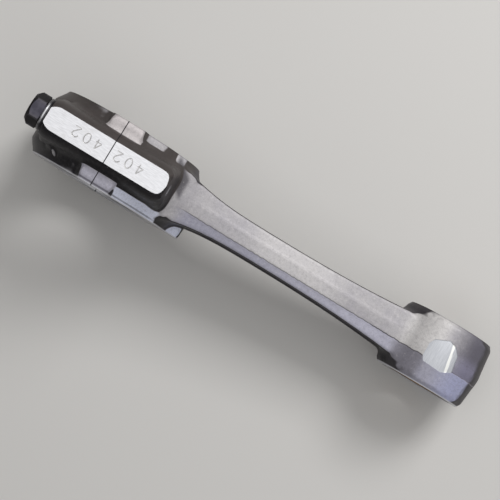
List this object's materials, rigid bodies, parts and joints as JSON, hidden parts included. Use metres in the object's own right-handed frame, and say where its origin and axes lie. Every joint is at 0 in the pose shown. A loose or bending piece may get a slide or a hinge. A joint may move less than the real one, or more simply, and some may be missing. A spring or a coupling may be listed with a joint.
{
  "type": "connecting rod",
  "caption": "Forged steel connecting rod for a small diesel engine, with a bolted big-end cap, bearing shells and a bushed small end.",
  "frame": {"origin": "centre of the crankpin bore at the big end, on the rod's mid plane", "axes": "+X along the rod from the big end to the small end, +Y along both bores, +Z across the rod from the lower to the upper bolt"},
  "size_m": [0.2978, 0.04, 0.1042],
  "materials": {
    "forged_steel": "shot-blasted grey forging, with bright milled and ground faces",
    "black_steel": "black oxide, lightly oiled",
    "washer_steel": "hardened and ground",
    "dowel_steel": "ground",
    "bearing_lining": "matt grey overlay on a steel back",
    "bronze": "fine-bored bronze"
  },
  "bodies": {
    "root": {"rod_body": "forged_steel", "bearing_cap": "forged_steel", "bolt_upper": "black_steel", "bolt_lower": "black_steel", "washer_upper": "washer_steel", "washer_lower": "washer_steel", "dowel_upper": "dowel_steel", "dowel_lower": "dowel_steel", "shell_rod_side": "bearing_lining", "shell_cap_side": "bearing_lining", "small_end_bush": "bronze"}
  },
  "joints": []
}
